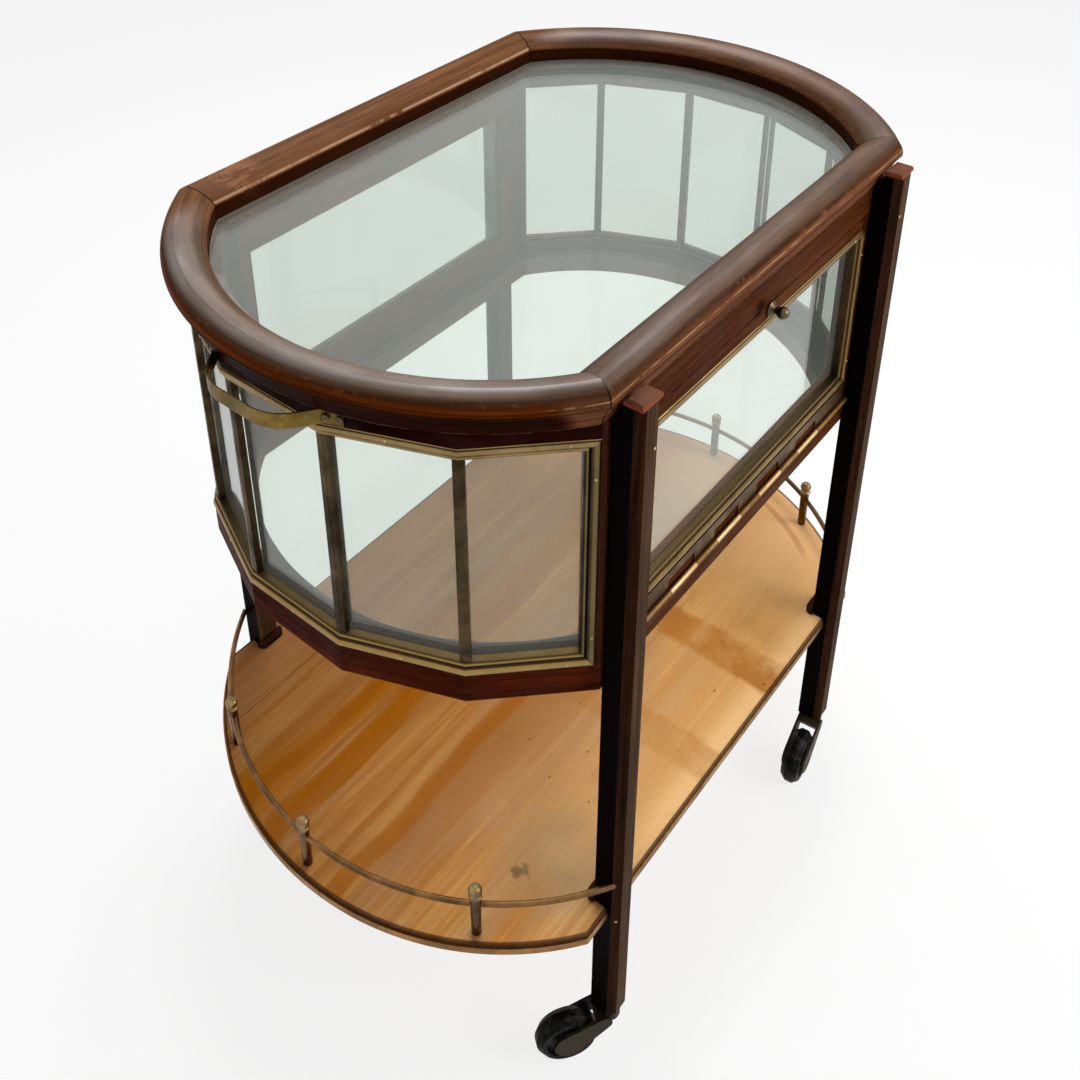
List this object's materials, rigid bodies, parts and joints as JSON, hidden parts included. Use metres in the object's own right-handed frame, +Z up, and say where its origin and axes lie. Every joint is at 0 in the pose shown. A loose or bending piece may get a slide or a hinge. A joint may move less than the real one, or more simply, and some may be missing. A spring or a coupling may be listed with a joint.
{
  "type": "bar cart",
  "caption": "Glazed bar cart with round faceted ends, glass top, drop front door, lower shelf with brass gallery, push handle and swivel casters.",
  "frame": {"origin": "on the floor under the middle of the cart", "axes": "+X along the length, away from the push handle; -Y out of the door; +Z up"},
  "size_m": [0.7072, 0.4892, 0.7625],
  "materials": {
    "mahogany": "worn satin polish on dark red-brown wood",
    "leg_wood": "dark polish with near-black sides and worn arrises",
    "ebonised": "black polish",
    "veneer": "satin, honey-brown figured veneer with stains",
    "brass": "aged, dull, brighter on worn edges",
    "bronze": "dark toned",
    "iron": "dark, worn grey on the cheeks",
    "tyre": "hard black rubber, scuffed",
    "glass": "clear with a faint green-grey tint"
  },
  "bodies": {
    "cart": {"rim_front": "mahogany", "rim_back": "mahogany", "rim_left": "mahogany", "rim_right": "mahogany", "frieze_left": "mahogany", "frieze_right": "mahogany", "top_rail_front": "mahogany", "top_rail_back": "mahogany", "base_front": "mahogany", "base_back": "mahogany", "base_left": "mahogany", "base_right": "mahogany", "back_frame": "mahogany", "top_glass": "glass", "floor_glass": "glass", "end_panes_left": "glass", "end_panes_right": "glass", "back_glass": "glass", "end_bead_left": "brass", "end_bead_right": "brass", "back_bead": "brass", "hinge_case_leaf": "brass", "handle": "brass", "gallery_rail_left": "brass", "gallery_rail_right": "brass", "gallery_posts_left": "brass", "gallery_posts_right": "brass", "shelf_edge_left": "brass", "shelf_edge_right": "brass", "shelf_edge_sides": "brass", "glazing_bars_left": "bronze", "glazing_bars_right": "bronze", "shelf_panel": "veneer", "shelf_collars": "ebonised", "caster_ferrules": "iron", "post_front_left": "mahogany", "leg_front_left": "leg_wood", "post_front_right": "mahogany", "leg_front_right": "leg_wood", "post_back_left": "mahogany", "leg_back_left": "leg_wood", "post_back_right": "mahogany", "leg_back_right": "leg_wood"},
    "door": {"door_stile_left": "mahogany", "door_stile_right": "mahogany", "door_rail_lower": "mahogany", "door_rail_upper": "mahogany", "door_glass": "glass", "door_bead": "brass", "hinge_door_leaf": "brass"},
    "knob": {"door_knob": "brass"},
    "caster_front_left": {"fork_front_left": "iron"},
    "roller_front_left": {"wheel_front_left": "tyre"},
    "caster_front_right": {"fork_front_right": "iron"},
    "roller_front_right": {"wheel_front_right": "tyre"},
    "caster_back_left": {"fork_back_left": "iron"},
    "roller_back_left": {"wheel_back_left": "tyre"},
    "caster_back_right": {"fork_back_right": "iron"},
    "roller_back_right": {"wheel_back_right": "tyre"}
  },
  "joints": [
    {"name": "door_drop", "type": "hinge", "parent": "cart", "child": "door", "pos_m": [0, -0.21566, 0.5005], "axis": [1, 0, 0], "range_deg": [0, 178]},
    {"name": "knob_turn", "type": "hinge", "parent": "door", "child": "knob", "pos_m": [0.008, -0.21286, 0.6966], "axis": [0, -1, 0], "range_deg": [0, 90]},
    {"name": "swivel_front_left", "type": "hinge", "parent": "cart", "child": "caster_front_left", "pos_m": [-0.19903, -0.22486, 0.0575], "axis": [0, 0, 1], "continuous": true},
    {"name": "roll_front_left", "type": "hinge", "parent": "caster_front_left", "child": "roller_front_left", "pos_m": [-0.23097, -0.20078, 0.029], "axis": [-0.6018, -0.7986, 0], "continuous": true},
    {"name": "swivel_front_right", "type": "hinge", "parent": "cart", "child": "caster_front_right", "pos_m": [0.19903, -0.22486, 0.0575], "axis": [0, 0, 1], "continuous": true},
    {"name": "roll_front_right", "type": "hinge", "parent": "caster_front_right", "child": "roller_front_right", "pos_m": [0.15924, -0.22904, 0.029], "axis": [0.1045, -0.9945, 0], "continuous": true},
    {"name": "swivel_back_left", "type": "hinge", "parent": "cart", "child": "caster_back_left", "pos_m": [-0.19903, 0.22486, 0.0575], "axis": [0, 0, 1], "continuous": true},
    {"name": "roll_back_left", "type": "hinge", "parent": "caster_back_left", "child": "roller_back_left", "pos_m": [-0.23528, 0.20795, 0.029], "axis": [0.4226, -0.9063, 0], "continuous": true},
    {"name": "swivel_back_right", "type": "hinge", "parent": "cart", "child": "caster_back_right", "pos_m": [0.19903, 0.22486, 0.0575], "axis": [0, 0, 1], "continuous": true},
    {"name": "roll_back_right", "type": "hinge", "parent": "caster_back_right", "child": "roller_back_right", "pos_m": [0.15963, 0.2318, 0.029], "axis": [-0.1736, -0.9848, 0], "continuous": true}
  ]
}
